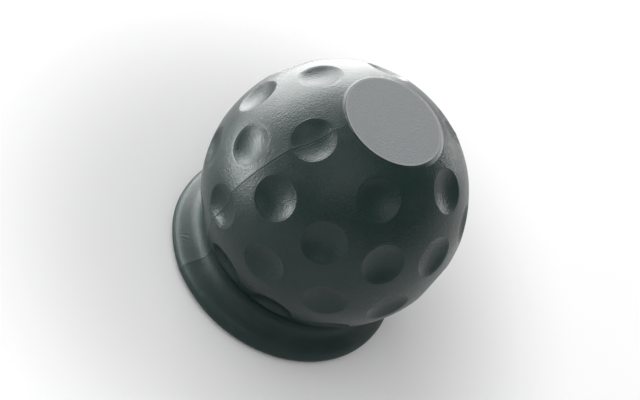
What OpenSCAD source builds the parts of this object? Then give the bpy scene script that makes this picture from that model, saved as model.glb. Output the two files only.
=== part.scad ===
// Cover for a tow ball, moulded in one piece from soft rubber.
// The part stands on its rim at z = 0, and its axis is the Z axis.

/* [Hollow] */
// Diameter of the tow ball that the cover goes over
tow_ball_d = 50; // [45:0.1:55]
// Gap between the tow ball and the hollow, all round
ball_fit = 0.25; // [0:0.05:1]
// Inside diameter of the throat that grips under the tow ball
throat_d = 41; // [36:0.5:43]
// Length of the throat's straight wall
throat_h = 4; // [2:0.1:6]
// Inside diameter of the mouth, at the rim
mouth_d = 55; // [46:0.5:57]
// Rounding of the mouth's edge
mouth_edge_r = 1; // [0.5:0.1:1.5]

/* [Ball] */
// Thickness of the soft wall over the tow ball
wall = 9.75; // [9.25:0.05:12]

/* [Crown] */
// Diameter of the flat pad on the crown
pad_d = 27; // [27:0.5:30]
// How far the pad lies below the ball's full height
pad_drop = 2.4; // [2:0.1:2.5]
// Rounding of the pad's edge
pad_edge_r = 0.25; // [0.1:0.05:0.4]

/* [Dimples] */
// Diameter of a dimple at its rim
dimple_d = 11.3; // [8:0.1:13]
// Depth of a dimple, from the ball's full surface
dimple_depth = 1.8; // [0.8:0.05:2.5]
// Angle between the axis and the first ring of dimples
first_ring_angle = 38; // [36:0.5:40]
// Angle between one ring of dimples and the next
ring_step_angle = 26; // [24:0.5:27]
// Number of rings of dimples
rings = 4; // [1:1:4]
// Dimples in the first ring
first_ring_count = 6; // [3:1:7]
// Dimples in each of the other rings
ring_count = 12; // [6:1:13]

/* [Neck] */
// Outside diameter of the neck between the ball and the skirt
neck_d = 54.1; // [53:0.1:56]
// Height over the rim at which the ball and the neck would meet in a corner
neck_h = 11.5; // [11.4:0.1:13]
// Rounding of the corner between the ball and the neck
neck_top_r = 3.6; // [2:0.1:3.8]
// Rounding of the corner between the neck and the skirt
neck_foot_r = 4; // [2:0.1:4]

/* [Skirt] */
// Outside diameter of the skirt
skirt_d = 65.8; // [64:0.1:72]
// Height of the skirt's top face, where it would meet the neck
skirt_h = 6.9; // [6:0.1:7.5]
// Radius of the skirt's half-round edge
skirt_edge_r = 2.7; // [2:0.1:3]

/* [Hidden] */
$fn = 96;
// Overlap where one outline runs into another
bite = 1;
// Overlap by which a rounding crosses the lines that it rounds
nip = 0.005;

hollow_r = tow_ball_d / 2 + ball_fit;
ball_r = hollow_r + wall;
throat_r = throat_d / 2;
mouth_r = mouth_d / 2;
neck_r = neck_d / 2;
skirt_r = skirt_d / 2;
pad_r = pad_d / 2;

// The ball's centre lies as high as the neck needs
ball_z = neck_h + sqrt(pow(ball_r, 2) - pow(neck_r, 2));
pad_z = ball_z + ball_r - pad_drop;

// The throat starts where the hollow has narrowed to its radius
throat_top_z = ball_z - sqrt(pow(hollow_r, 2) - pow(throat_r, 2));
throat_foot_z = throat_top_z - throat_h;

// A dimple is cut by a ball that passes through its rim and its lowest point
dimple_r = dimple_d / 2;
rim_drop = ball_r - sqrt(pow(ball_r, 2) - pow(dimple_r, 2));
dish_h = dimple_depth - rim_drop;
dish_r = (pow(dimple_r, 2) + pow(dish_h, 2)) / (2 * dish_h);

// Centre of the rounding between the ball and the neck, which touches both
neck_top_reach = neck_top_r - nip;
neck_top_c = [
    neck_r + neck_top_reach,
    ball_z - sqrt(pow(ball_r + neck_top_reach, 2) - pow(neck_r + neck_top_reach, 2))
];

// The skirt's top face falls from the neck until it touches the half-round edge
skirt_edge_c = [skirt_r - skirt_edge_r, skirt_edge_r];
top_run = skirt_edge_c - [neck_r, skirt_h];
skirt_fall = -atan2(top_run[1], top_run[0]) - asin(skirt_edge_r / norm(top_run));
top_square = [sin(skirt_fall), cos(skirt_fall)];
top_end = skirt_edge_c + (skirt_edge_r - nip) * top_square;

// Centre of the rounding between the neck and the skirt, which touches both
neck_foot_reach = neck_foot_r - nip;
neck_foot_c = [
    neck_r + neck_foot_reach,
    skirt_h - neck_foot_reach * tan(skirt_fall) + neck_foot_reach / cos(skirt_fall)
];

// The mouth widens in a straight flare from the throat's foot to the rim
flare_angle = atan2(mouth_r - throat_r, throat_foot_z);
flare_square = [cos(flare_angle), sin(flare_angle)];
function flare_x(z) = mouth_r - z * tan(flare_angle);

// Centre of the rounding of the mouth's edge, which touches the flare and the rim
mouth_edge_reach = mouth_edge_r - nip;
mouth_edge_c = [
    flare_x(mouth_edge_reach) + mouth_edge_reach / cos(flare_angle),
    mouth_edge_reach
];

// Half of the ball's outline, cut off for the pad
module ball_outline() {
    intersection() {
        translate([0, ball_z]) circle(ball_r);
        square([ball_r, pad_z]);
    }
}

// Half of the pad's outline, with its corner rounded
module pad_outline() {
    translate([0, ball_z]) square([pad_r, pad_z - ball_z - pad_edge_r]);
    translate([0, ball_z]) square([pad_r - pad_edge_r, pad_z - ball_z]);
    translate([pad_r - pad_edge_r, pad_z - pad_edge_r]) circle(pad_edge_r);
}

// Half of the outline of the neck and the skirt, with both of the neck's corners filled in
// as far as the centres of their roundings
module foot_outline() {
    polygon([
        [0, 0],
        [skirt_edge_c[0], 0],
        skirt_edge_c,
        top_end,
        neck_foot_c - neck_foot_reach * top_square,
        neck_foot_c,
        [neck_r, neck_foot_c[1]],
        [neck_r, neck_top_c[1]],
        neck_top_c,
        [0, ball_z]
    ]);
    translate(skirt_edge_c) circle(skirt_edge_r);
}

// Half of the outline of the throat and the mouth, with the mouth's edge rounded
module mouth_outline() {
    difference() {
        polygon([
            [0, ball_z],
            [throat_r, ball_z],
            [throat_r, throat_foot_z],
            mouth_edge_c - mouth_edge_reach * flare_square,
            mouth_edge_c,
            [mouth_edge_c[0], -bite],
            [0, -bite]
        ]);
        translate(mouth_edge_c) circle(mouth_edge_r);
    }
}

// Half of the whole section, to turn about the axis
module section() {
    difference() {
        union() {
            ball_outline();
            pad_outline();
            foot_outline();
        }
        translate(neck_top_c) circle(neck_top_r);
        translate(neck_foot_c) circle(neck_foot_r);
        translate([0, ball_z]) circle(hollow_r);
        mouth_outline();
    }
}

// One dimple's cutter, at an angle from the axis and a turn round it. It is the low end of
// the dish's ball, and ends just outside the cover's ball.
module dimple(angle, turn) {
    translate([0, 0, ball_z])
        rotate([0, angle, turn])
            rotate_extrude()
                intersection() {
                    translate([0, ball_r - dimple_depth + dish_r]) circle(dish_r);
                    square([dimple_r + bite / 2, ball_r + bite / 2]);
                }
}

// Rings of dimples, every other ring turned by half a dimple's pitch
module dimples() {
    for (i = [0 : rings - 1]) {
        count = i == 0 ? first_ring_count : ring_count;
        for (k = [0 : count - 1])
            dimple(first_ring_angle + i * ring_step_angle, (k + (i % 2) / 2) * 360 / count);
    }
}

module cover() {
    color([0.16, 0.2, 0.19])
        difference() {
            rotate_extrude() section();
            dimples();
        }
}

cover();
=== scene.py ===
"""Looks of a soft dimpled cover for a tow ball, laid out as an add-on.

Lengths are in metres and angles in radians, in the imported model's own frame: the cover
stands on its rim at z = 0, its axis is Z, and the mould's parting line lies in the plane
y = 0.
"""
import math

import bpy
import numpy as np
from mathutils import Matrix, Vector


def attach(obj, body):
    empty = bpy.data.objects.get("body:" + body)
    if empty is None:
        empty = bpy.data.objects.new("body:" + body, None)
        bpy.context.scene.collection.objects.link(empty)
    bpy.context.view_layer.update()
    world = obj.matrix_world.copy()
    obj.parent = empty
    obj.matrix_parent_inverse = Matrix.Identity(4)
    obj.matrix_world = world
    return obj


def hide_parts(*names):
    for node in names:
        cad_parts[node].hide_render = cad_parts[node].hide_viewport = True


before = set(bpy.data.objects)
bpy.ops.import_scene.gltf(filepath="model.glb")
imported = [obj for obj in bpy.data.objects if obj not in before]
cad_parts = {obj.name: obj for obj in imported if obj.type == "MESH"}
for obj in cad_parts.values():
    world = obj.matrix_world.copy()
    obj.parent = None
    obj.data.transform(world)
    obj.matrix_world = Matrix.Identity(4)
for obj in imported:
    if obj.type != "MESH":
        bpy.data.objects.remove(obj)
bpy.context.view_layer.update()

bl_info = {
    "name": "Tow ball cover",
    "version": (1, 0, 0),
    "blender": (4, 5, 0),
    "location": "View3D > Sidebar > Cover",
    "description": "Builds a soft dimpled tow ball cover and a plain stage for it",
    "category": "Object",
}

MM = 0.001
RIM_RUN = "rim_run"

# Points on each stretch of the outside's outline and then of the inside's, and the angle
# over the horizon at which the inside's ends, just short of its top.
PAD_ROUND_POINTS = 5
BALL_POINTS = 118
UNDER_BALL_POINTS = 9
FOOT_POINTS = 12
SKIRT_TOP_POINTS = 4
SKIRT_EDGE_POINTS = 19
MOUTH_EDGE_POINTS = 7
FLARE_POINTS = 6
THROAT_POINTS = 4
DOME_POINTS = 34
DOME_END = math.radians(88)

# Columns round the axis on the smooth faces, how many times as many the outside has, and
# the rings of the pad's disc, with the first and last ring's share of its radius.
COARSE_COLUMNS = 138
COLUMN_RATIO = 4
PAD_RINGS = 9
PAD_RING_SHARES = (0.985, 0.12)

# Columns crowd at the parting line: their extra density there, the sine of the angle over
# which it dies away, and the points of the running sum that places them.
SEAM_DENSITY = 3.2
SEAM_WIDTH = 0.045
SUM_POINTS = 20001

# Width and reach of the parting line's step, and width of its groove.
STEP_WIDTH = 0.1 * MM
STEP_REACH = 3 * MM
GROOVE_WIDTH = 0.14 * MM

# The moulding's long waves: their seed, their lengths, the range of their phases, and what
# their sum is divided by.
WAVE_SEED = 7
WAVE_LENGTHS = np.linspace(14, 32, 6) * MM
WAVE_PHASE = 6.28
WAVE_SCALE = 2.5

# How far off the ball a point still counts as on it, and the rows of the outline over which
# the moulding's marks fade in past the pad and out before the rim.
ON_BALL = 0.2 * MM
FADE_START = 5
FADE_IN = 6
FADE_OUT = 8

# A point takes part in the run to a dimple's rim from this many dimples' depths inside the
# ball to this far outside it.
RUN_DEPTHS = 1.2
RUN_OUTSIDE = 0.5 * MM

# The pad's finish, whose pale colour is a painted reflection, starts and is full at these depths
# below its face, and starts to fade and ends at these distances inside its edge. The painted
# highlight line lies at a distance inside that edge.
# The painted reflection beside the pad, a pale crescent with no bevel in the shape, has the same
# two pairs, and comes in between these two cosines of the angle from its turn.
PAD_FACE = (0.10 * MM, 0.02 * MM)
PAD_EDGE = (0.30 * MM, 0.15 * MM)
HIGHLIGHT_LINE_PLACE = 0.45 * MM
HIGHLIGHT_LINE_WIDTH = 0.16 * MM
REFLECTION_FACE = (1.2 * MM, 1.1 * MM)
REFLECTION_EDGE = (0.15 * MM, 0.0)
REFLECTION_SIDE = (0.45, 0.85)

# Each pair is where a finish starts to fade and where it ends: the hollow's by the distance
# from the ball's centre, the mouth's by the distance past its radius, which narrows upwards
# by the slope, and by the height, and the skirt's by the height. Then place and width of the
# ridge outside a dimple's rim.
HOLLOW_END = (29 * MM, 30 * MM)
MOUTH_SLOPE = 0.3
MOUTH_EDGE_END = (0.2 * MM, 0.4 * MM)
MOUTH_TOP_END = (20 * MM, 21 * MM)
SKIRT_END = (8 * MM, 12 * MM)
LIP_PLACE = 0.12 * MM
LIP_WIDTH = 0.13 * MM

# Each noise: its scale per metre, its detail and its roughness. Patches of duller skin come
# in between two values of theirs, and the grain has shares of the other two.
PATCH_NOISE = (90, 4, 0.6)
PATCH_BAND = (0.35, 0.7)
FINE_NOISE = (2200, 2, 0.6)
BROAD_NOISE = (600, 3, 0.55)
FINE_SHARE = 0.65
BROAD_SHARE = 0.35

# Roughness of the skin, what duller patches, the grain and the skirt add to it, and that of
# the pad. Then the rubber's gloss.
SKIN_ROUGHNESS = 0.28
PATCH_ROUGHNESS = 0.06
GRAIN_ROUGHNESS = 0.08
SKIRT_ROUGHNESS = 0.17
PAD_ROUGHNESS = 0.62
RUBBER_IOR = 1.5
RUBBER_SPECULAR = 0.28


def length(name, description, mm):
    """A length that a user can change, given in millimetres."""
    return bpy.props.FloatProperty(
        name=name, description=description, default=mm * MM,
        subtype="DISTANCE", unit="LENGTH", precision=5,
    )


def angle(name, description, degrees):
    """An angle that a user can change, given in degrees."""
    return bpy.props.FloatProperty(
        name=name, description=description, default=math.radians(degrees),
        subtype="ANGLE", unit="ROTATION",
    )


def number(name, description, value):
    """A plain number that a user can change."""
    return bpy.props.FloatProperty(name=name, description=description, default=value)


def colour(name, description, rgb):
    """A linear colour that a user can change."""
    return bpy.props.FloatVectorProperty(
        name=name, description=description, default=rgb,
        subtype="COLOR", size=3, min=0.0, max=1.0,
    )


class CoverSizes(bpy.types.PropertyGroup):
    """Sizes of the moulding, and of the marks that moulding left on it."""
    ball_r: length("Ball radius", "Outside radius of the ball", 35.0)
    ball_z: length("Ball height", "Height of the ball's centre over the rim", 33.71)
    hollow_r: length("Hollow radius", "Radius of the hollow that holds the tow ball", 25.25)
    throat_r: length("Throat radius", "Radius of the throat under the hollow", 20.5)
    throat_h: length("Throat length", "Length of the throat's straight wall", 4.0)
    mouth_r: length("Mouth radius", "Radius of the mouth at the rim", 27.5)
    mouth_edge_r: length("Mouth edge", "Rounding of the mouth's edge", 1.0)
    pad_r: length("Pad radius", "Radius of the flat pad on the crown", 13.5)
    pad_z: length("Pad height", "Height of the pad over the rim", 66.31)
    pad_edge_r: length("Pad edge", "Rounding of the pad's edge", 0.25)
    dimple_r: length("Dimple radius", "Radius of a dimple at its rim", 5.65)
    dimple_depth: length("Dimple depth", "Depth of a dimple from the ball's full surface", 1.8)
    dimple_lip: length("Dimple lip", "Softness of a dimple's rim", 0.065)
    first_ring: angle("First ring", "Angle from the axis to the first ring of dimples", 38)
    ring_step: angle("Ring step", "Angle from one ring of dimples to the next", 26)
    neck_r: length("Neck radius", "Radius of the neck between ball and skirt", 27.05)
    neck_top_r: length("Neck top", "Rounding of the corner between ball and neck", 3.6)
    neck_foot_r: length("Neck foot", "Rounding of the corner between neck and skirt", 4.0)
    skirt_r: length("Skirt radius", "Outside radius of the skirt", 32.9)
    skirt_h: length("Skirt height", "Height of the skirt's top face at the neck", 6.9)
    skirt_edge_r: length("Skirt edge", "Radius of the skirt's half-round edge", 2.7)
    seam_ridge: length("Seam ridge", "Height of the soft ridge along the parting line", 0.16)
    seam_reach: length("Seam reach", "Distance over which that ridge dies away", 1.6)
    seam_step: length("Seam step", "Step between the two halves of the mould", 0.08)
    seam_groove: length("Seam groove", "Depth of the fine line between the halves", 0.06)
    wave: length("Waviness", "Height of the moulding's long soft waves", 0.05)
    grain: length("Grain", "Height of the skin's fine grain", 0.16)
    pad_grain: length("Pad grain", "Height of the pad's grain", 0.12)
    lip_ridge: length("Lip ridge", "Height of the fine ridge round a dimple", 0.045)
    # Place of the painted reflection beside the pad: a pale crescent painted on the skin on one
    # side, named a bevel in its labels, with no bevel in the shape.
    reflection_shift: length("Bevel's shift", "How far the bevel beside the pad lies off the axis",
                        0.55)
    reflection_turn: angle("Bevel's turn", "Turn of the bevel about the axis, from +X", 165)


class CoverColours(bpy.types.PropertyGroup):
    """Colours of the rubber and of the floor."""
    skin: colour("Rubber", "The moulded skin", (0.0085, 0.0255, 0.0225))
    skin_dull: colour("Rubber, duller", "The skin where it is a little duller",
                      (0.0145, 0.0315, 0.0285))
    # The pad's pale grey is a painted reflection: it stands in for the softbox's reflection on
    # the flat crown, which is the same dark rubber.
    pad: colour("Pad", "The crown's grained pad", (0.178, 0.193, 0.197))
    # Painted highlight and painted reflection: the pale line inside the pad's edge is a painted
    # highlight on its rounding, and the crescent beside the pad, called its bevel, is a painted
    # reflection with no bevel in the shape.
    painted_shine: colour("Pad's rim", "The pale line inside the pad's edge, and its bevel",
                    (0.245, 0.261, 0.263))
    hollow: colour("Hollow", "The inside", (0.020, 0.034, 0.031))
    floor: colour("Floor", "The pale floor", (0.8, 0.8, 0.8))
    floor_fill: colour("Floor, thrown up", "The floor's colour for the light that it throws up",
                       (0.06, 0.06, 0.06))


class StageSizes(bpy.types.PropertyGroup):
    """Place of the camera round the cover."""
    azimuth: angle("Azimuth", "Turn of the camera about the axis, from +X", 34.78)
    elevation: angle("Elevation", "Height of the camera over the horizon", 45.72)
    roll: angle("Roll", "Turn of the camera about its line of sight", 39.08)
    distance: length("Distance", "From the camera to the ball's centre", 420.0)
    half_width: number("Half width", "Tangent of half the camera's angle of view", 0.199)
    offset_x: length("Offset across", "How far the ball's centre lies right of the middle", 3.86)
    offset_y: length("Offset up", "How far the ball's centre lies above the middle", 1.81)


DIMPLE_RINGS = (6, 12, 12, 12)

# Small marks in the skin. Each row: the centre's turn and height seen from the ball's centre
# and the turn of its strokes, in degrees; then its distance from the ball's centre, its
# radius, and its strokes' pitch and height, in millimetres. A pitch far longer than the
# radius makes one bead.
MARKS = (
    (-36.8, 37.1, 131, 35.0, 1.2, 0.60, 0.035),
    (-29.7, 47.2, 142, 35.0, 1.5, 0.65, 0.035),
    (-23.7, 41.3, 124, 35.0, 2.4, 1.00, 0.012),
    (-20.8, 57.5, 0, 35.0, 0.22, 3.00, 0.060),
    (11.4, 29.9, 88, 33.8, 1.0, 0.65, 0.025),
    (-15.0, -42.6, -38, 42.0, 1.1, 0.80, 0.050),
    (2.2, -8.6, 0, 34.2, 1.2, 20.00, 0.200),
)


def sizes():
    """The cover's sizes as they are set."""
    return bpy.context.scene.cover_sizes


def colours():
    """The cover's and the floor's colours as they are set."""
    return bpy.context.scene.cover_colours


def direction(azimuth, elevation):
    """Unit vector at a turn from +X and a height over the horizon, both in degrees."""
    a = math.radians(azimuth)
    e = math.radians(elevation)
    return Vector((math.cos(a) * math.cos(e), math.sin(a) * math.cos(e), math.sin(e)))


def arc(centre, radius, start, end, count):
    """Points on a circle's arc in the half plane (r, z), its ends included. Each point is
    the centre plus the radius times the cosine and sine of an angle that runs evenly."""
    a = np.linspace(start, end, count)
    return np.stack([centre[0] + radius * np.cos(a), centre[1] + radius * np.sin(a)], 1)


def line(start, end, count):
    """Points spaced evenly on a straight line, its ends included."""
    return np.linspace(start, end, count)


def join(*stretches):
    """Stretches of outline end to end, with each shared point kept once."""
    rows = [stretches[0]] + [s[1:] for s in stretches[1:]]
    return np.concatenate(rows)


def outer_outline(s):
    """The outside's outline from the pad's edge to the rim's inner edge: the pad's rounding,
    the ball, the corner under the ball, the neck, its foot, the skirt's top face and the
    skirt's half-round edge. Each rounding's circle touches both of its neighbours."""
    ball = np.array([0.0, s.ball_z])
    top_r = s.neck_top_r
    top_c = np.array([
        s.neck_r + top_r,
        s.ball_z - math.sqrt((s.ball_r + top_r) ** 2 - (s.neck_r + top_r) ** 2),
    ])
    edge_c = np.array([s.skirt_r - s.skirt_edge_r, s.skirt_edge_r])
    run = edge_c - np.array([s.neck_r, s.skirt_h])
    fall = -math.atan2(run[1], run[0]) - math.asin(s.skirt_edge_r / np.hypot(*run))
    foot_r = s.neck_foot_r
    foot_c = np.array([
        s.neck_r + foot_r,
        s.skirt_h - foot_r * math.tan(fall) + foot_r / math.cos(fall),
    ])
    pad_c = np.array([s.pad_r - s.pad_edge_r, s.pad_z - s.pad_edge_r])
    start = math.acos(s.pad_r / s.ball_r)
    to_top = math.atan2(top_c[1] - ball[1], top_c[0])
    square = math.pi / 2 - fall
    pad_round = arc(pad_c, s.pad_edge_r, math.pi / 2, 0, PAD_ROUND_POINTS)
    sphere = arc(ball, s.ball_r, start, to_top, BALL_POINTS)
    under = arc(top_c, top_r, to_top + math.pi, math.pi, UNDER_BALL_POINTS)
    foot = arc(foot_c, foot_r, math.pi, math.pi + square, FOOT_POINTS)
    edge = arc(edge_c, s.skirt_edge_r, square, -math.pi / 2, SKIRT_EDGE_POINTS)
    return join(
        pad_round, line(pad_round[-1], sphere[0], 2), sphere, under,
        line(under[-1], foot[0], 2), foot, line(foot[-1], edge[0], SKIRT_TOP_POINTS), edge,
    )


def inner_outline(s):
    """The inside's outline from the rim to the hollow's top: the mouth's rounded edge, the
    flare, the throat and the hollow."""
    throat_top = s.ball_z - math.sqrt(s.hollow_r ** 2 - s.throat_r ** 2)
    throat_foot = throat_top - s.throat_h
    flare = math.atan2(s.mouth_r - s.throat_r, throat_foot)
    edge_r = s.mouth_edge_r
    edge_c = np.array([
        s.mouth_r - edge_r * math.tan(flare) + edge_r / math.cos(flare), edge_r,
    ])
    edge = arc(edge_c, edge_r, -math.pi / 2, -math.pi + flare, MOUTH_EDGE_POINTS)
    low = math.atan2(throat_top - s.ball_z, s.throat_r)
    dome = arc((0.0, s.ball_z), s.hollow_r, low, DOME_END, DOME_POINTS)
    return join(
        edge, line(edge[-1], (s.throat_r, throat_foot), FLARE_POINTS),
        line((s.throat_r, throat_foot), dome[0], THROAT_POINTS), dome,
    )


def turns(count):
    """Azimuths once round, closest together where the parting line runs. They divide
    evenly the running sum of a density that peaks at 0 and at half a turn."""
    fine = np.linspace(0, 2 * math.pi, SUM_POINTS)
    density = 1 + SEAM_DENSITY * np.exp(-(np.sin(fine) / SEAM_WIDTH) ** 2)
    total = np.concatenate([[0], np.cumsum((density[1:] + density[:-1]) / 2)])
    return np.interp(np.arange(count) * total[-1] / count, total, fine)


def dimple_axes(s):
    """Unit vectors from the ball's centre to the dimples, as rows. Every other ring is
    turned by half a dimple's pitch."""
    axes = []
    for ring, count in enumerate(DIMPLE_RINGS):
        polar = s.first_ring + ring * s.ring_step
        turn = (np.arange(count) + (ring % 2) / 2) * 2 * math.pi / count
        axes.append(np.stack([
            math.sin(polar) * np.cos(turn), math.sin(polar) * np.sin(turn),
            np.full(count, math.cos(polar)),
        ], 1))
    return np.concatenate(axes)


def nearest_dimple(s, rays):
    """Cosine of the angle from each unit ray to the nearest dimple's axis."""
    return np.max(rays @ dimple_axes(s).T, axis=1)


def rim_run(s, points):
    """How far points on the ball lie outside the nearest dimple's rim, along the ball: its
    radius times the angle from the dimple's axis, less the rim's own. Off the ball the run
    is a whole dimple's radius."""
    from_ball = points - np.array([0, 0, s.ball_z])
    far = np.linalg.norm(from_ball, axis=1)
    near = np.clip(nearest_dimple(s, from_ball / far[:, None]), -1, 1)
    run = s.ball_r * (np.arccos(near) - math.asin(s.dimple_r / s.ball_r))
    on_ball = (far > s.ball_r - RUN_DEPTHS * s.dimple_depth) & (far < s.ball_r + RUN_OUTSIDE)
    return np.where(on_ball, run, s.dimple_r)


def dimple_drop(s, rays):
    """How far the dimples lower the ball along unit rays from its centre. A dimple is part
    of a sphere through its rim and its lowest point, and the ray's near crossing with that
    sphere is blended with the ball by a soft minimum."""
    rim_drop = s.ball_r - math.sqrt(s.ball_r ** 2 - s.dimple_r ** 2)
    dish_h = s.dimple_depth - rim_drop
    dish_r = (s.dimple_r ** 2 + dish_h ** 2) / (2 * dish_h)
    reach = s.ball_r - s.dimple_depth + dish_r
    near = nearest_dimple(s, rays)
    inside = np.maximum((reach * near) ** 2 - (reach ** 2 - dish_r ** 2), 0)
    depth = s.ball_r - (reach * near - np.sqrt(inside))
    return s.dimple_lip * np.logaddexp(0, depth / s.dimple_lip)


def seam_rise(s, y):
    """Height of the parting line's marks at a distance y from its plane: a ridge that dies
    away on both sides, a step between the halves, and a fine groove."""
    ridge = s.seam_ridge * np.exp(-np.abs(y) / s.seam_reach)
    step = -s.seam_step * np.tanh(y / STEP_WIDTH) * np.exp(-np.abs(y) / STEP_REACH)
    groove = s.seam_groove * np.exp(-(y / GROOVE_WIDTH) ** 2)
    return ridge + step / 2 - groove


def soft_waves(s, points):
    """A sum of sine waves across the points, 14 to 32 mm long, each with its own way and
    phase."""
    rng = np.random.default_rng(WAVE_SEED)
    total = np.zeros(len(points))
    for wavelength in WAVE_LENGTHS:
        way = rng.normal(size=3)
        way /= np.linalg.norm(way)
        total += np.sin(points @ way * 2 * math.pi / wavelength + rng.uniform(0, WAVE_PHASE))
    return s.wave * total / WAVE_SCALE


def turned(outline, azimuths):
    """An outline turned to each azimuth, as rows of points: r cos a, r sin a, z."""
    r = outline[:, 0, None]
    z = np.broadcast_to(outline[:, 1, None], (len(outline), len(azimuths)))
    return np.stack([r * np.cos(azimuths), r * np.sin(azimuths), z], -1)


def outline_normals(outline):
    """Unit normals of an outline, on the left of its run turned to the outside."""
    run = np.gradient(outline, axis=0)
    normal = np.stack([-run[:, 1], run[:, 0]], 1)
    return normal / np.linalg.norm(normal, axis=1, keepdims=True)


def outer_skin(s, azimuths):
    """Points of the outside. The outline is turned about the axis, and each point then moves
    along its normal by the marks of the moulding, less the dimples' depth on the ball."""
    outline = outer_outline(s)
    grid = turned(outline, azimuths)
    normals = turned(outline_normals(outline), azimuths)
    flat = grid.reshape(-1, 3)
    out = normals.reshape(-1, 3)
    from_ball = flat - np.array([0, 0, s.ball_z])
    far = np.linalg.norm(from_ball, axis=1)
    rays = from_ball / far[:, None]
    on_ball = np.abs(far - s.ball_r) < ON_BALL
    drop = np.where(on_ball, dimple_drop(s, rays), 0)
    rank = np.repeat(np.arange(len(outline)), len(azimuths))
    fade = (np.clip((rank - FADE_START) / FADE_IN, 0, 1)
            * np.clip((len(outline) - 1 - rank) / FADE_OUT, 0, 1))
    rise = (seam_rise(s, flat[:, 1]) + soft_waves(s, flat)) * fade
    return (flat + out * (rise - drop)[:, None]).reshape(grid.shape)


def ring_faces(first, next_first, count):
    """Quads between two rings of equal count, as indices."""
    k = np.arange(count)
    after = (k + 1) % count
    return np.stack([first + k, next_first + k, next_first + after, first + after], 1)


def step_faces(fine_first, coarse_first, coarse_count, ratio, outward):
    """Faces between a fine ring and a coarse one with a ratio-th of its points: each takes
    one side of the coarse ring and all the points beside it of the fine one."""
    k = np.arange(coarse_count)
    fine_count = coarse_count * ratio
    fine = (k[:, None] * ratio + np.arange(ratio + 1)) % fine_count + fine_first
    coarse = np.stack([(k + 1) % coarse_count, k], 1) + coarse_first
    faces = np.concatenate([fine, coarse], 1)
    return faces if outward else faces[:, ::-1]


def cover_mesh(s):
    """Points and faces of the whole closed shell: the pad's disc, the outside, the rim and
    the inside. The smooth pad and inside have fewer columns than the outside."""
    ratio = COLUMN_RATIO
    coarse_count = COARSE_COLUMNS
    fine_turn = turns(coarse_count * ratio)
    coarse_turn = fine_turn[::ratio]
    outer = outer_skin(s, fine_turn)
    inner = turned(inner_outline(s), coarse_turn)
    pad_radii = np.linspace(*PAD_RING_SHARES, PAD_RINGS) * (s.pad_r - s.pad_edge_r)
    pad = turned(np.stack([pad_radii, np.full(len(pad_radii), s.pad_z)], 1), coarse_turn)
    poles = np.array([[0, 0, s.pad_z], [0, 0, s.ball_z + s.hollow_r]])
    points = np.concatenate([
        outer.reshape(-1, 3), inner.reshape(-1, 3), pad.reshape(-1, 3), poles,
    ])
    fine_count = len(fine_turn)
    inner_at = outer.shape[0] * fine_count
    pad_at = inner_at + inner.shape[0] * coarse_count
    pole_at = pad_at + pad.shape[0] * coarse_count
    faces = []
    for row in range(outer.shape[0] - 1):
        faces.append(ring_faces(row * fine_count, (row + 1) * fine_count, fine_count))
    for row in range(inner.shape[0] - 1):
        at = inner_at + row * coarse_count
        faces.append(ring_faces(at, at + coarse_count, coarse_count))
    for row in range(pad.shape[0] - 1):
        at = pad_at + row * coarse_count
        faces.append(ring_faces(at + coarse_count, at, coarse_count))
    faces.append(step_faces(0, pad_at, coarse_count, ratio, True))
    faces.append(step_faces(inner_at - fine_count, inner_at, coarse_count, ratio, False))
    k = np.arange(coarse_count)
    after = (k + 1) % coarse_count
    last_pad = pad_at + (pad.shape[0] - 1) * coarse_count
    last_inner = inner_at + (inner.shape[0] - 1) * coarse_count
    faces.append(np.stack([last_pad + k, last_pad + after, np.full(len(k), pole_at)], 1))
    faces.append(np.stack([last_inner + after, last_inner + k,
                           np.full(len(k), pole_at + 1)], 1))
    return points, faces


def new_mesh_object(name, points, face_groups):
    """A smooth-shaded object at the origin from points and arrays of faces."""
    mesh = bpy.data.meshes.new(name)
    corners = np.concatenate([f.ravel() for f in face_groups]).astype(np.int32)
    counts = np.concatenate([np.full(len(f), f.shape[1]) for f in face_groups])
    mesh.vertices.add(len(points))
    mesh.vertices.foreach_set("co", points.astype(np.float32).ravel())
    mesh.loops.add(len(corners))
    mesh.loops.foreach_set("vertex_index", corners)
    mesh.polygons.add(len(counts))
    starts = np.concatenate([[0], np.cumsum(counts)[:-1]]).astype(np.int32)
    mesh.polygons.foreach_set("loop_start", starts)
    mesh.update(calc_edges=True)
    mesh.validate()
    mesh.shade_smooth()
    piece = bpy.data.objects.new(name, mesh)
    bpy.context.scene.collection.objects.link(piece)
    return piece


class Value:
    """A number that varies over a surface. Arithmetic on it adds Math nodes."""

    def __init__(self, shader, socket):
        self.shader = shader
        self.socket = socket

    def math(self, operation, *others, clamp=False):
        """A Math node's result, from this value and others."""
        settings = {"operation": operation, "use_clamp": clamp}
        node = self.shader.node("ShaderNodeMath", settings, dict(enumerate((self,) + others)))
        return Value(self.shader, node.outputs[0])

    def __add__(self, other):
        return self.math("ADD", other)

    __radd__ = __add__

    def __mul__(self, other):
        return self.math("MULTIPLY", other)

    __rmul__ = __mul__

    def __sub__(self, other):
        return self.math("SUBTRACT", other)

    def __rsub__(self, other):
        return (self * -1) + other

    def __truediv__(self, other):
        return self.math("DIVIDE", other)

    def __pow__(self, other):
        return self.math("POWER", other)

    def peak(self, centre, width):
        """1 at the centre, falling off as a bell curve to 1/e at a width from it."""
        off = (self - centre) / width
        return (off * off * -1).math("EXPONENT")

    def between(self, low, high):
        """0 at low, 1 at high, with a smooth change between them."""
        node = self.shader.node(
            "ShaderNodeMapRange", {"interpolation_type": "SMOOTHSTEP"},
            {0: self, 1: low, 2: high, 3: 0.0, 4: 1.0},
        )
        return Value(self.shader, node.outputs[0])


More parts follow.
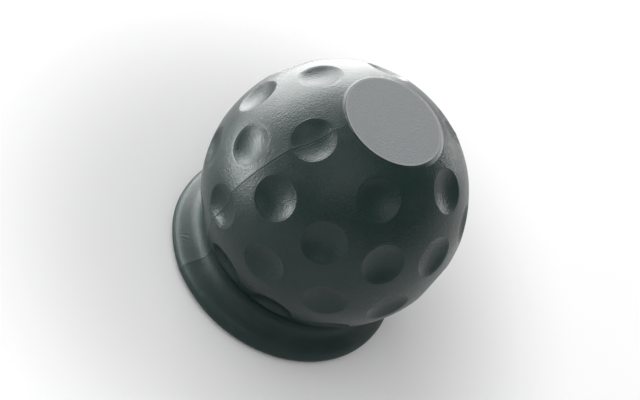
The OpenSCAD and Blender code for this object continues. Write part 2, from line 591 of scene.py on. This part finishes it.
class Shader:
    """A material's or world's nodes."""

    def __init__(self, owner):
        owner.use_nodes = True
        self.tree = owner.node_tree
        self.tree.nodes.clear()

    def node(self, kind, settings=None, sockets=None):
        """A node of a kind, with its settings made first and then its sockets' values or
        links. A socket is named by its label or its number."""
        made = self.tree.nodes.new(kind)
        for key, value in (settings or {}).items():
            setattr(made, key, value)
        for key, value in (sockets or {}).items():
            socket = made.inputs[key]
            if isinstance(value, Value):
                value = value.socket
            if isinstance(value, bpy.types.NodeSocket):
                self.tree.links.new(value, socket)
            else:
                socket.default_value = value
        return made

    def place(self):
        """Object coordinates."""
        return self.node("ShaderNodeTexCoord").outputs["Object"]

    def way(self):
        """The direction of a ray, in a world's nodes."""
        return self.node("ShaderNodeTexCoord").outputs["Generated"]

    def seen(self):
        """1 for a ray from the camera, from gloss or through glass, and 0 for any other."""
        path = self.node("ShaderNodeLightPath")
        rays = [Value(self, path.outputs["Is %s Ray" % kind])
                for kind in ("Camera", "Glossy", "Transmission")]
        return (rays[0] + rays[1]).math("ADD", rays[2], clamp=True)

    def noise(self, where, per_metre, detail, roughness):
        """A noise between 0 and 1, from its scale per metre, detail and roughness."""
        node = self.node("ShaderNodeTexNoise", {}, {
            "Vector": where, "Scale": per_metre, "Detail": detail, "Roughness": roughness,
        })
        return Value(self, node.outputs["Fac"])

    def distance(self, where, point):
        """How far a place is from a fixed point."""
        node = self.node("ShaderNodeVectorMath", {"operation": "DISTANCE"},
                         {0: where, 1: point})
        return Value(self, node.outputs["Value"])

    def along(self, where, way):
        """How far a place lies along a fixed unit vector."""
        node = self.node("ShaderNodeVectorMath", {"operation": "DOT_PRODUCT"},
                         {0: where, 1: way})
        return Value(self, node.outputs["Value"])

    def attribute(self, name):
        """A value stored on the mesh's points."""
        node = self.node("ShaderNodeAttribute", {"attribute_name": name})
        return Value(self, node.outputs["Fac"])

    def mix(self, factor, low, high):
        """A colour between two others."""
        node = self.node("ShaderNodeMix", {"data_type": "RGBA"}, {
            0: factor, 6: as_rgba(low), 7: as_rgba(high),
        })
        return node.outputs[2]


def as_rgba(value):
    """A colour with its alpha, or a socket as it is."""
    if isinstance(value, bpy.types.NodeSocket):
        return value
    return (*value, 1.0)


def below(level, depths):
    """A level less each of two depths."""
    return [level - depth for depth in depths]


def skin_marks(shader, where, s):
    """Height of the small marks, in metres: each is a cosine across its strokes under a bell
    curve about its centre."""
    height = 0
    for turn, lift, stroke_turn, far, radius, pitch, rise in MARKS:
        out = direction(turn, lift)
        east = Vector((0, 0, 1)).cross(out).normalized()
        stroke = math.radians(stroke_turn)
        across = out.cross(east) * math.cos(stroke) - east * math.sin(stroke)
        centre = Vector((0, 0, s.ball_z)) + out * far * MM
        run = shader.along(where, across) - across.dot(centre)
        window = shader.distance(where, centre).peak(0, radius * MM)
        strokes = (run * (2 * math.pi / (pitch * MM))).math("COSINE")
        height = height + strokes * window * rise * MM
    return height


def rubber_material():
    """Satin rubber with a fine moulded grain, duller on the skirt, a fine ridge round each
    dimple, and a grained pad. The pad is painted paler as a painted reflection, with a painted
    highlight line inside its edge. A painted reflection also lies as a pale crescent on the skin
    beside the pad, on one side only."""
    s = sizes()
    c = colours()
    material = bpy.data.materials.new("soft_rubber")
    shader = Shader(material)
    where = shader.place()
    axes = shader.node("ShaderNodeSeparateXYZ", {}, {0: where})
    x = Value(shader, axes.outputs[0])
    y = Value(shader, axes.outputs[1])
    z = Value(shader, axes.outputs[2])
    out = (x * x + y * y) ** 0.5
    on_pad = (z.between(*below(s.pad_z, PAD_FACE))
              * (1 - out.between(*below(s.pad_r, PAD_EDGE))))
    # A painted highlight: a pale line inside the pad's edge, where its rounding catches the
    # light.
    highlight_line = out.peak(s.pad_r - HIGHLIGHT_LINE_PLACE, HIGHLIGHT_LINE_WIDTH)
    # A painted reflection: a pale crescent on the skin beside the pad, on the side its turn
    # faces, standing in for the softbox's reflection there.
    reflection_x = x - s.reflection_shift * math.cos(s.reflection_turn)
    reflection_y = y - s.reflection_shift * math.sin(s.reflection_turn)
    reflection_out = (reflection_x * reflection_x + reflection_y * reflection_y) ** 0.5
    reflection_r = s.pad_r + s.reflection_shift
    reflection_side = (x * math.cos(s.reflection_turn) + y * math.sin(s.reflection_turn)) / out
    on_painted_reflection = (z.between(*below(s.pad_z, REFLECTION_FACE))
                * (1 - reflection_out.between(*below(reflection_r, REFLECTION_EDGE)))
                * reflection_side.between(*REFLECTION_SIDE) * (1 - on_pad))
    in_hollow = 1 - shader.distance(where, (0, 0, s.ball_z)).between(*HOLLOW_END)
    mouth_end = [s.mouth_r + past for past in MOUTH_EDGE_END]
    in_mouth = ((1 - (out + z * MOUTH_SLOPE).between(*mouth_end))
                * (1 - z.between(*MOUTH_TOP_END)))
    inside = in_hollow.math("MAXIMUM", in_mouth)
    on_skirt = 1 - z.between(*SKIRT_END)
    patches = shader.noise(where, *PATCH_NOISE).between(*PATCH_BAND)
    skin = shader.mix(patches, c.skin, c.skin_dull)
    skin = shader.mix(inside, skin, c.hollow)
    # The pad's pale colour is a painted reflection, and its pale line inside the edge is a
    # painted highlight.
    pad = shader.mix(highlight_line, c.pad, c.painted_shine)
    base = shader.mix(on_pad, shader.mix(on_painted_reflection, skin, c.painted_shine), pad)
    fine = shader.noise(where, *FINE_NOISE)
    broad = shader.noise(where, *BROAD_NOISE)
    lip = shader.attribute(RIM_RUN).peak(LIP_PLACE, LIP_WIDTH)
    height = ((fine * FINE_SHARE + broad * BROAD_SHARE) * s.grain * (1 - on_pad)
              + fine * s.pad_grain * on_pad
              + lip * s.lip_ridge
              + skin_marks(shader, where, s))
    bump = shader.node("ShaderNodeBump", {}, {
        "Strength": 1.0, "Distance": 1.0, "Height": height,
    })
    rough = (SKIN_ROUGHNESS + patches * PATCH_ROUGHNESS + (fine - 0.5) * GRAIN_ROUGHNESS
             + on_skirt * SKIRT_ROUGHNESS)
    rough = rough * (1 - on_pad) + on_pad * PAD_ROUGHNESS
    surface = shader.node("ShaderNodeBsdfPrincipled", {}, {
        "Base Color": base, "Roughness": rough, "Normal": bump.outputs[0],
        "IOR": RUBBER_IOR, "Specular IOR Level": RUBBER_SPECULAR,
    })
    shader.node("ShaderNodeOutputMaterial", {}, {"Surface": surface.outputs[0]})
    return material


def floor_material():
    """A floor that a camera, gloss and glass see as white with a soft shadow on it, and that
    throws little light up. Its glow grows with the distance from the cover, so the floor is left
    darker within about 0.1 m of the axis: painted shade round the cover."""
    material = bpy.data.materials.new("floor")
    shader = Shader(material)
    seen = shader.seen()
    away = shader.distance(shader.place(), (0, 0, 0))
    # No glow within about 0.05 m of the axis: the floor round the cover is left darker as
    # painted shade.
    glow = (away.between(*GLOW_PAST_PAINTED_SHADE_START) * GLOW_PAST_PAINTED_SHADE
            + away.between(*GLOW_FAR_START) * GLOW_FAR)
    tone = shader.mix(seen, colours().floor_fill, colours().floor)
    surface = shader.node("ShaderNodeBsdfPrincipled", {}, {
        "Base Color": tone, "Roughness": FLOOR_ROUGHNESS, "Specular IOR Level": 0.0,
        "Emission Color": seen * glow, "Emission Strength": 1.0,
    })
    shader.node("ShaderNodeOutputMaterial", {}, {"Surface": surface.outputs[0]})
    return material


class COVER_OT_moulding(bpy.types.Operator):
    """Builds the moulded cover"""
    bl_idname = "cover.moulding"
    bl_label = "Moulded cover"

    def execute(self, context):
        points, faces = cover_mesh(sizes())
        piece = new_mesh_object("cover_moulding", points, faces)
        run = piece.data.attributes.new(RIM_RUN, "FLOAT", "POINT")
        run.data.foreach_set("value", rim_run(sizes(), points).astype(np.float32))
        piece.data.materials.append(rubber_material())
        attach(piece, "root")
        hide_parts("cover")
        return {"FINISHED"}


def look_along(way, up):
    """Turn that points a camera or lamp along a direction, with up as near as it can be."""
    back = -way.normalized()
    right = up.cross(back).normalized()
    return Matrix((right, back.cross(right), back)).transposed()


def add_lamp(name, azimuth, elevation, distance, wide, high, radiance, aim, lights_all):
    """A soft area lamp that faces the cover, and lights everything or only shows in gloss.
    Its power gives the stated radiance: a flat lamp of area A and radiance L gives L times
    A times pi watts."""
    data = bpy.data.lights.new(name, "AREA")
    data.shape = "RECTANGLE"
    data.size = wide
    data.size_y = high
    data.energy = radiance * wide * high * math.pi
    lamp = bpy.data.objects.new(name, data)
    away = direction(azimuth, elevation)
    lamp.location = aim + away * distance
    lamp.rotation_mode = "QUATERNION"
    lamp.rotation_quaternion = look_along(-away, Vector((0, 0, 1))).to_quaternion()
    lamp.visible_camera = False
    lamp.visible_diffuse = lights_all
    bpy.context.scene.collection.objects.link(lamp)


def set_world():
    """A dim world. A camera, gloss and glass see it as pale near the horizon, and as a
    darker room above."""
    world = bpy.data.worlds.new("studio")
    bpy.context.scene.world = world
    shader = Shader(world)
    axes = shader.node("ShaderNodeSeparateXYZ", {}, {0: shader.way()})
    high = Value(shader, axes.outputs[2]).between(*WORLD_TURN)
    shown = WORLD_LOW + high * (WORLD_HIGH - WORLD_LOW)
    strength = WORLD_FILL + shader.seen() * (shown - WORLD_FILL)
    back = shader.node("ShaderNodeBackground", {}, {"Color": (1, 1, 1, 1), "Strength": strength})
    shader.node("ShaderNodeOutputWorld", {}, {"Surface": back.outputs[0]})


# Each row of both tables: name, azimuth and elevation seen from the ball's centre in degrees,
# distance, width and height in metres, and radiance. The first lamps light everything.
LAMPS = (
    ("top_box", -82, 45, 1.25, 1.00, 0.45, 3.0),
    ("side_wide", -40, 10, 1.25, 0.75, 0.60, 2.8),
    ("front_box", 20, 62, 1.25, 1.00, 1.00, 1.2),
)
# These only show in gloss, as the pale things round the cover.
GLOSS_LAMPS = (
    ("back_wide", -100, 13, 1.25, 2.10, 0.75, 6.7),
    ("back_core", -96, 15, 1.25, 1.20, 0.45, 7.0),
    ("side_core", -40, 10, 1.25, 0.45, 0.38, 4.2),
    ("side_low", -38, -8, 0.20, 0.07, 0.018, 36.0),
    ("pad_box", -143, 27, 1.25, 0.50, 0.50, 12.0),
    ("far_box", -171, 6, 1.25, 0.26, 0.24, 7.6),
    ("mid_back", -98, -1, 0.25, 0.30, 0.050, 6.2),
    ("low_side", -36, -7, 0.13, 0.12, 0.034, 10.5),
    ("low_back", -104, -9, 0.14, 0.18, 0.026, 7.0),
)

# The floor's half side, how far it lies below the rim, and its roughness. It glows only as seen:
# two shares, with the distances from the axis between which each comes in. Without the first
# share near the cover, the floor there is darker: painted shade round the cover.
FLOOR_HALF = 6.0
FLOOR_DROP = 0.02 * MM
FLOOR_ROUGHNESS = 0.9
GLOW_PAST_PAINTED_SHADE = 0.25
GLOW_PAST_PAINTED_SHADE_START = (0.048, 0.1)
GLOW_FAR = 0.6
GLOW_FAR_START = (0.3, 1.2)

# The world's light on everything, how pale it is seen at the horizon and above, and the
# sines of the heights between which that changes.
WORLD_FILL = 0.6
WORLD_LOW = 0.95
WORLD_HIGH = 0.26
WORLD_TURN = (0.1, 0.4)

# The camera's sensor in millimetres, and the nearest and farthest things that it sees.
SENSOR_WIDTH = 36.0
CLIP_START = 0.01
CLIP_END = 20.0


class COVER_OT_stage(bpy.types.Operator):
    """Adds the floor, the lamps, the world and the camera"""
    bl_idname = "cover.stage"
    bl_label = "Stage"

    def execute(self, context):
        scene = context.scene
        stage = scene.cover_stage
        aim = Vector((0, 0, sizes().ball_z))
        half = FLOOR_HALF
        low = -FLOOR_DROP
        corners = np.array([
            [-half, -half, low], [half, -half, low], [half, half, low], [-half, half, low],
        ])
        floor = new_mesh_object("floor", corners, [np.array([[0, 1, 2, 3]])])
        floor.data.materials.append(floor_material())
        for row in LAMPS:
            add_lamp(*row, aim, True)
        for row in GLOSS_LAMPS:
            add_lamp(*row, aim, False)
        set_world()
        away = direction(math.degrees(stage.azimuth), math.degrees(stage.elevation))
        right = Vector((0, 0, 1)).cross(away).normalized()
        upright = away.cross(right)
        up = upright * math.cos(stage.roll) - right * math.sin(stage.roll)
        across = up.cross(away)
        data = bpy.data.cameras.new("camera")
        data.sensor_width = SENSOR_WIDTH
        data.lens = data.sensor_width / 2 / stage.half_width
        data.clip_start = CLIP_START
        data.clip_end = CLIP_END
        camera = bpy.data.objects.new("camera", data)
        camera.location = (aim + away * stage.distance - across * stage.offset_x
                           - up * stage.offset_y)
        camera.rotation_mode = "QUATERNION"
        camera.rotation_quaternion = look_along(-away, up).to_quaternion()
        scene.collection.objects.link(camera)
        scene.camera = camera
        scene.view_settings.view_transform = "Standard"
        return {"FINISHED"}


class COVER_PT_panel(bpy.types.Panel):
    """Lists the operators and the sizes"""
    bl_label = "Tow ball cover"
    bl_idname = "COVER_PT_panel"
    bl_space_type = "VIEW_3D"
    bl_region_type = "UI"
    bl_category = "Cover"

    def draw(self, context):
        scene = context.scene
        for operator in OPERATORS:
            self.layout.operator(operator.bl_idname)
        for group in (scene.cover_sizes, scene.cover_colours, scene.cover_stage):
            box = self.layout.box()
            for name in group.__annotations__:
                box.prop(group, name)


GROUPS = {"cover_sizes": CoverSizes, "cover_colours": CoverColours, "cover_stage": StageSizes}
OPERATORS = (COVER_OT_moulding, COVER_OT_stage)


def register():
    """Adds the classes, and their settings to the scene type."""
    for kind in (*GROUPS.values(), *OPERATORS, COVER_PT_panel):
        bpy.utils.register_class(kind)
    for name, kind in GROUPS.items():
        setattr(bpy.types.Scene, name, bpy.props.PointerProperty(type=kind))


def unregister():
    """Takes away what register added."""
    for name in GROUPS:
        delattr(bpy.types.Scene, name)
    for kind in (COVER_PT_panel, *reversed(OPERATORS), *reversed(GROUPS.values())):
        bpy.utils.unregister_class(kind)


def main():
    register()
    bpy.ops.cover.moulding()
    bpy.ops.cover.stage()


if __name__ == "__main__":
    main()
